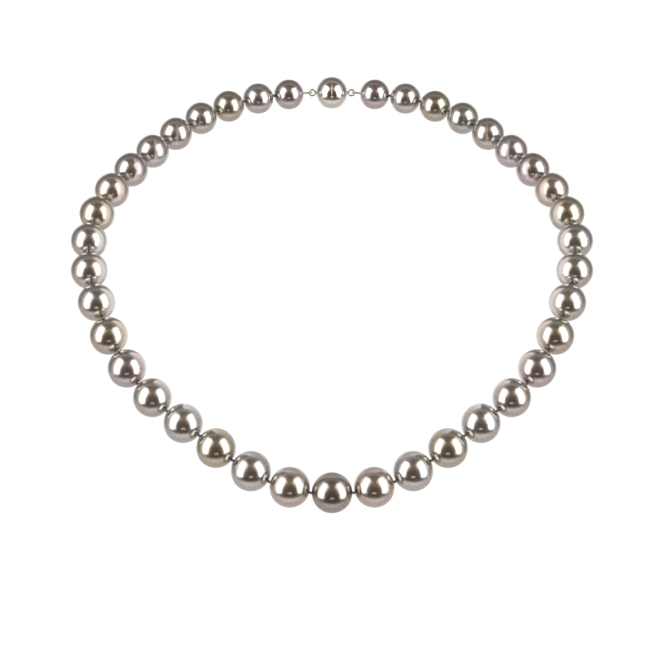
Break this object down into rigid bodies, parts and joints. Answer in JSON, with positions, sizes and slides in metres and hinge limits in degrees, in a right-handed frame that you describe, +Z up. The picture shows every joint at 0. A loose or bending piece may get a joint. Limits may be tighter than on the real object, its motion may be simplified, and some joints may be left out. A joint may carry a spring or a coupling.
{
  "type": "pearl necklace",
  "caption": "Graduated strand of dark nacreous pearls, hand-knotted on silk, lying as worn, with a magnetic ball clasp at the nape and both arms unfolding.",
  "frame": {"origin": "the point on the ball clasp that rests against the nape of the neck", "axes": "+Z up, +Y towards the wearer's back, +X to the right of someone facing the wearer"},
  "size_m": [0.1586, 0.098, 0.1347],
  "materials": {
    "nacre_peacock": "polished nacre",
    "nacre_bronze": "polished nacre",
    "nacre_silver": "polished nacre",
    "nacre_pistachio": "polished nacre",
    "nacre_taupe": "polished nacre",
    "nacre_mauve": "polished nacre",
    "nacre_grey": "polished nacre",
    "white_gold": "polished",
    "gimp": "coiled wire",
    "magnet": "nickel plated",
    "silk": "twisted silk"
  },
  "bodies": {
    "front": {"front_pearl": "nacre_peacock"},
    "right_01": {"pearl_right_01": "nacre_bronze"},
    "right_02": {"pearl_right_02": "nacre_silver"},
    "right_03": {"pearl_right_03": "nacre_pistachio"},
    "right_04": {"pearl_right_04": "nacre_silver"},
    "right_05": {"pearl_right_05": "nacre_taupe"},
    "right_06": {"pearl_right_06": "nacre_mauve"},
    "right_07": {"pearl_right_07": "nacre_pistachio"},
    "right_08": {"pearl_right_08": "nacre_grey"},
    "right_09": {"pearl_right_09": "nacre_taupe"},
    "right_10": {"pearl_right_10": "nacre_grey"},
    "right_11": {"pearl_right_11": "nacre_pistachio"},
    "right_12": {"pearl_right_12": "nacre_bronze"},
    "right_13": {"pearl_right_13": "nacre_mauve"},
    "right_14": {"pearl_right_14": "nacre_silver"},
    "right_15": {"pearl_right_15": "nacre_taupe"},
    "right_16": {"pearl_right_16": "nacre_grey"},
    "right_17": {"pearl_right_17": "nacre_pistachio"},
    "right_18": {"pearl_right_18": "nacre_silver"},
    "right_19": {"pearl_right_19": "nacre_mauve", "gimp_right": "gimp"},
    "clasp_right": {"clasp_eye_right": "white_gold", "clasp_shell_right": "white_gold", "magnet_cup_right": "white_gold", "magnet_right": "magnet"},
    "left_01": {"pearl_left_01": "nacre_bronze"},
    "left_02": {"pearl_left_02": "nacre_silver"},
    "left_03": {"pearl_left_03": "nacre_pistachio"},
    "left_04": {"pearl_left_04": "nacre_silver"},
    "left_05": {"pearl_left_05": "nacre_taupe"},
    "left_06": {"pearl_left_06": "nacre_mauve"},
    "left_07": {"pearl_left_07": "nacre_pistachio"},
    "left_08": {"pearl_left_08": "nacre_grey"},
    "left_09": {"pearl_left_09": "nacre_taupe"},
    "left_10": {"pearl_left_10": "nacre_grey"},
    "left_11": {"pearl_left_11": "nacre_pistachio"},
    "left_12": {"pearl_left_12": "nacre_bronze"},
    "left_13": {"pearl_left_13": "nacre_mauve"},
    "left_14": {"pearl_left_14": "nacre_silver"},
    "left_15": {"pearl_left_15": "nacre_taupe"},
    "left_16": {"pearl_left_16": "nacre_grey"},
    "left_17": {"pearl_left_17": "nacre_pistachio"},
    "left_18": {"pearl_left_18": "nacre_silver"},
    "left_19": {"pearl_left_19": "nacre_mauve", "gimp_left": "gimp"},
    "clasp_left": {"clasp_eye_left": "white_gold", "clasp_shell_left": "white_gold", "magnet_cup_left": "white_gold", "magnet_left": "magnet"}
  },
  "joints": [
    {"name": "open_right", "type": "hinge", "parent": "front", "child": "right_01", "pos_m": [0.00632, -0.08203, -0.12369], "axis": [0, 0, -1], "range_deg": [0, 6.14]},
    {"name": "knot_right_01", "type": "hinge", "parent": "right_01", "child": "right_02", "pos_m": [0.01843, -0.08073, -0.12054], "axis": [0, 0, -1], "range_deg": [0, 2.97]},
    {"name": "knot_right_02", "type": "hinge", "parent": "right_02", "child": "right_03", "pos_m": [0.02916, -0.079, -0.11439], "axis": [0, 0, -1], "range_deg": [0, 3]},
    {"name": "knot_right_03", "type": "hinge", "parent": "right_03", "child": "right_04", "pos_m": [0.03901, -0.07689, -0.10716], "axis": [0, 0, -1], "range_deg": [0, 2.72]},
    {"name": "knot_right_04", "type": "hinge", "parent": "right_04", "child": "right_05", "pos_m": [0.04869, -0.07433, -0.10001], "axis": [0, 0, -1], "range_deg": [0, 4.75]},
    {"name": "knot_right_05", "type": "hinge", "parent": "right_05", "child": "right_06", "pos_m": [0.05748, -0.0712, -0.09216], "axis": [0, 0, -1], "range_deg": [0, 9.55]},
    {"name": "knot_right_06", "type": "hinge", "parent": "right_06", "child": "right_07", "pos_m": [0.0642, -0.06746, -0.08283], "axis": [0, 0, -1], "range_deg": [0, 14.82]},
    {"name": "knot_right_07", "type": "hinge", "parent": "right_07", "child": "right_08", "pos_m": [0.06889, -0.06294, -0.07278], "axis": [0, 0, -1], "range_deg": [0, 15.02]},
    {"name": "knot_right_08", "type": "hinge", "parent": "right_08", "child": "right_09", "pos_m": [0.07228, -0.05731, -0.0629], "axis": [0, 0, -1], "range_deg": [0, 15.28]},
    {"name": "knot_right_09", "type": "hinge", "parent": "right_09", "child": "right_10", "pos_m": [0.07418, -0.05058, -0.05349], "axis": [0, 0, -1], "range_deg": [0, 20.6]},
    {"name": "knot_right_10", "type": "hinge", "parent": "right_10", "child": "right_11", "pos_m": [0.07356, -0.04321, -0.04455], "axis": [0, 0, -1], "range_deg": [0, 18.47]},
    {"name": "knot_right_11", "type": "hinge", "parent": "right_11", "child": "right_12", "pos_m": [0.07035, -0.03576, -0.03645], "axis": [0, 0, -1], "range_deg": [0, 10.32]},
    {"name": "knot_right_12", "type": "hinge", "parent": "right_12", "child": "right_13", "pos_m": [0.06546, -0.0284, -0.02938], "axis": [0, 0, -1], "range_deg": [0, 6.67]},
    {"name": "knot_right_13", "type": "hinge", "parent": "right_13", "child": "right_14", "pos_m": [0.05948, -0.02135, -0.02311], "axis": [0, 0, -1], "range_deg": [0, 5.78]},
    {"name": "knot_right_14", "type": "hinge", "parent": "right_14", "child": "right_15", "pos_m": [0.05284, -0.01494, -0.01711], "axis": [0, 0, -1], "range_deg": [0, 6.07]},
    {"name": "knot_right_15", "type": "hinge", "parent": "right_15", "child": "right_16", "pos_m": [0.04555, -0.00928, -0.01141], "axis": [0, 0, -1], "range_deg": [0, 6.64]},
    {"name": "knot_right_16", "type": "hinge", "parent": "right_16", "child": "right_17", "pos_m": [0.0374, -0.00433, -0.00658], "axis": [0, 0, -1], "range_deg": [0, 6.71]},
    {"name": "knot_right_17", "type": "hinge", "parent": "right_17", "child": "right_18", "pos_m": [0.02835, -0.00021, -0.00318], "axis": [0, 0, -1], "range_deg": [0, 6.62]},
    {"name": "knot_right_18", "type": "hinge", "parent": "right_18", "child": "right_19", "pos_m": [0.01872, 0.0029, -0.00111], "axis": [0, 0, -1], "range_deg": [0, 7.55]},
    {"name": "gimp_turn_right", "type": "hinge", "parent": "right_19", "child": "clasp_right", "pos_m": [0.00725, 0.005, 0], "axis": [0, 0, -1], "range_deg": [0, 10.36]},
    {"name": "open_left", "type": "hinge", "parent": "front", "child": "left_01", "pos_m": [-0.00632, -0.08203, -0.12369], "axis": [0, 0, 1], "range_deg": [0, 6.14]},
    {"name": "knot_left_01", "type": "hinge", "parent": "left_01", "child": "left_02", "pos_m": [-0.01843, -0.08073, -0.12054], "axis": [0, 0, 1], "range_deg": [0, 2.97]},
    {"name": "knot_left_02", "type": "hinge", "parent": "left_02", "child": "left_03", "pos_m": [-0.02916, -0.079, -0.11439], "axis": [0, 0, 1], "range_deg": [0, 3]},
    {"name": "knot_left_03", "type": "hinge", "parent": "left_03", "child": "left_04", "pos_m": [-0.03901, -0.07689, -0.10716], "axis": [0, 0, 1], "range_deg": [0, 2.72]},
    {"name": "knot_left_04", "type": "hinge", "parent": "left_04", "child": "left_05", "pos_m": [-0.04869, -0.07433, -0.10001], "axis": [0, 0, 1], "range_deg": [0, 4.75]},
    {"name": "knot_left_05", "type": "hinge", "parent": "left_05", "child": "left_06", "pos_m": [-0.05748, -0.0712, -0.09216], "axis": [0, 0, 1], "range_deg": [0, 9.55]},
    {"name": "knot_left_06", "type": "hinge", "parent": "left_06", "child": "left_07", "pos_m": [-0.0642, -0.06746, -0.08283], "axis": [0, 0, 1], "range_deg": [0, 14.82]},
    {"name": "knot_left_07", "type": "hinge", "parent": "left_07", "child": "left_08", "pos_m": [-0.06889, -0.06294, -0.07278], "axis": [0, 0, 1], "range_deg": [0, 15.02]},
    {"name": "knot_left_08", "type": "hinge", "parent": "left_08", "child": "left_09", "pos_m": [-0.07228, -0.05731, -0.0629], "axis": [0, 0, 1], "range_deg": [0, 15.28]},
    {"name": "knot_left_09", "type": "hinge", "parent": "left_09", "child": "left_10", "pos_m": [-0.07418, -0.05058, -0.05349], "axis": [0, 0, 1], "range_deg": [0, 20.6]},
    {"name": "knot_left_10", "type": "hinge", "parent": "left_10", "child": "left_11", "pos_m": [-0.07356, -0.04321, -0.04455], "axis": [0, 0, 1], "range_deg": [0, 18.47]},
    {"name": "knot_left_11", "type": "hinge", "parent": "left_11", "child": "left_12", "pos_m": [-0.07035, -0.03576, -0.03645], "axis": [0, 0, 1], "range_deg": [0, 10.32]},
    {"name": "knot_left_12", "type": "hinge", "parent": "left_12", "child": "left_13", "pos_m": [-0.06546, -0.0284, -0.02938], "axis": [0, 0, 1], "range_deg": [0, 6.67]},
    {"name": "knot_left_13", "type": "hinge", "parent": "left_13", "child": "left_14", "pos_m": [-0.05948, -0.02135, -0.02311], "axis": [0, 0, 1], "range_deg": [0, 5.78]},
    {"name": "knot_left_14", "type": "hinge", "parent": "left_14", "child": "left_15", "pos_m": [-0.05284, -0.01494, -0.01711], "axis": [0, 0, 1], "range_deg": [0, 6.07]},
    {"name": "knot_left_15", "type": "hinge", "parent": "left_15", "child": "left_16", "pos_m": [-0.04555, -0.00928, -0.01141], "axis": [0, 0, 1], "range_deg": [0, 6.64]},
    {"name": "knot_left_16", "type": "hinge", "parent": "left_16", "child": "left_17", "pos_m": [-0.0374, -0.00433, -0.00658], "axis": [0, 0, 1], "range_deg": [0, 6.71]},
    {"name": "knot_left_17", "type": "hinge", "parent": "left_17", "child": "left_18", "pos_m": [-0.02835, -0.00021, -0.00318], "axis": [0, 0, 1], "range_deg": [0, 6.62]},
    {"name": "knot_left_18", "type": "hinge", "parent": "left_18", "child": "left_19", "pos_m": [-0.01872, 0.0029, -0.00111], "axis": [0, 0, 1], "range_deg": [0, 7.55]},
    {"name": "gimp_turn_left", "type": "hinge", "parent": "left_19", "child": "clasp_left", "pos_m": [-0.00725, 0.005, 0], "axis": [0, 0, 1], "range_deg": [0, 10.36]}
  ],
  "couplings": [
    {"joint": "knot_right_01", "follows": "open_right", "ratio": 0.48368},
    {"joint": "knot_right_02", "follows": "open_right", "ratio": 0.48825},
    {"joint": "knot_right_03", "follows": "open_right", "ratio": 0.44295},
    {"joint": "knot_right_04", "follows": "open_right", "ratio": 0.77264},
    {"joint": "knot_right_05", "follows": "open_right", "ratio": 1.554},
    {"joint": "knot_right_06", "follows": "open_right", "ratio": 2.4128},
    {"joint": "knot_right_07", "follows": "open_right", "ratio": 2.4452},
    {"joint": "knot_right_08", "follows": "open_right", "ratio": 2.4878},
    {"joint": "knot_right_09", "follows": "open_right", "ratio": 3.3532},
    {"joint": "knot_right_10", "follows": "open_right", "ratio": 3.0074},
    {"joint": "knot_right_11", "follows": "open_right", "ratio": 1.6799},
    {"joint": "knot_right_12", "follows": "open_right", "ratio": 1.0858},
    {"joint": "knot_right_13", "follows": "open_right", "ratio": 0.94146},
    {"joint": "knot_right_14", "follows": "open_right", "ratio": 0.98854},
    {"joint": "knot_right_15", "follows": "open_right", "ratio": 1.0816},
    {"joint": "knot_right_16", "follows": "open_right", "ratio": 1.0918},
    {"joint": "knot_right_17", "follows": "open_right", "ratio": 1.0773},
    {"joint": "knot_right_18", "follows": "open_right", "ratio": 1.2285},
    {"joint": "gimp_turn_right", "follows": "open_right", "ratio": 1.687},
    {"joint": "knot_left_01", "follows": "open_left", "ratio": 0.48368},
    {"joint": "knot_left_02", "follows": "open_left", "ratio": 0.48825},
    {"joint": "knot_left_03", "follows": "open_left", "ratio": 0.44295},
    {"joint": "knot_left_04", "follows": "open_left", "ratio": 0.77264},
    {"joint": "knot_left_05", "follows": "open_left", "ratio": 1.554},
    {"joint": "knot_left_06", "follows": "open_left", "ratio": 2.4128},
    {"joint": "knot_left_07", "follows": "open_left", "ratio": 2.4452},
    {"joint": "knot_left_08", "follows": "open_left", "ratio": 2.4878},
    {"joint": "knot_left_09", "follows": "open_left", "ratio": 3.3532},
    {"joint": "knot_left_10", "follows": "open_left", "ratio": 3.0074},
    {"joint": "knot_left_11", "follows": "open_left", "ratio": 1.6799},
    {"joint": "knot_left_12", "follows": "open_left", "ratio": 1.0858},
    {"joint": "knot_left_13", "follows": "open_left", "ratio": 0.94146},
    {"joint": "knot_left_14", "follows": "open_left", "ratio": 0.98854},
    {"joint": "knot_left_15", "follows": "open_left", "ratio": 1.0816},
    {"joint": "knot_left_16", "follows": "open_left", "ratio": 1.0918},
    {"joint": "knot_left_17", "follows": "open_left", "ratio": 1.0773},
    {"joint": "knot_left_18", "follows": "open_left", "ratio": 1.2285},
    {"joint": "gimp_turn_left", "follows": "open_left", "ratio": 1.687}
  ]
}
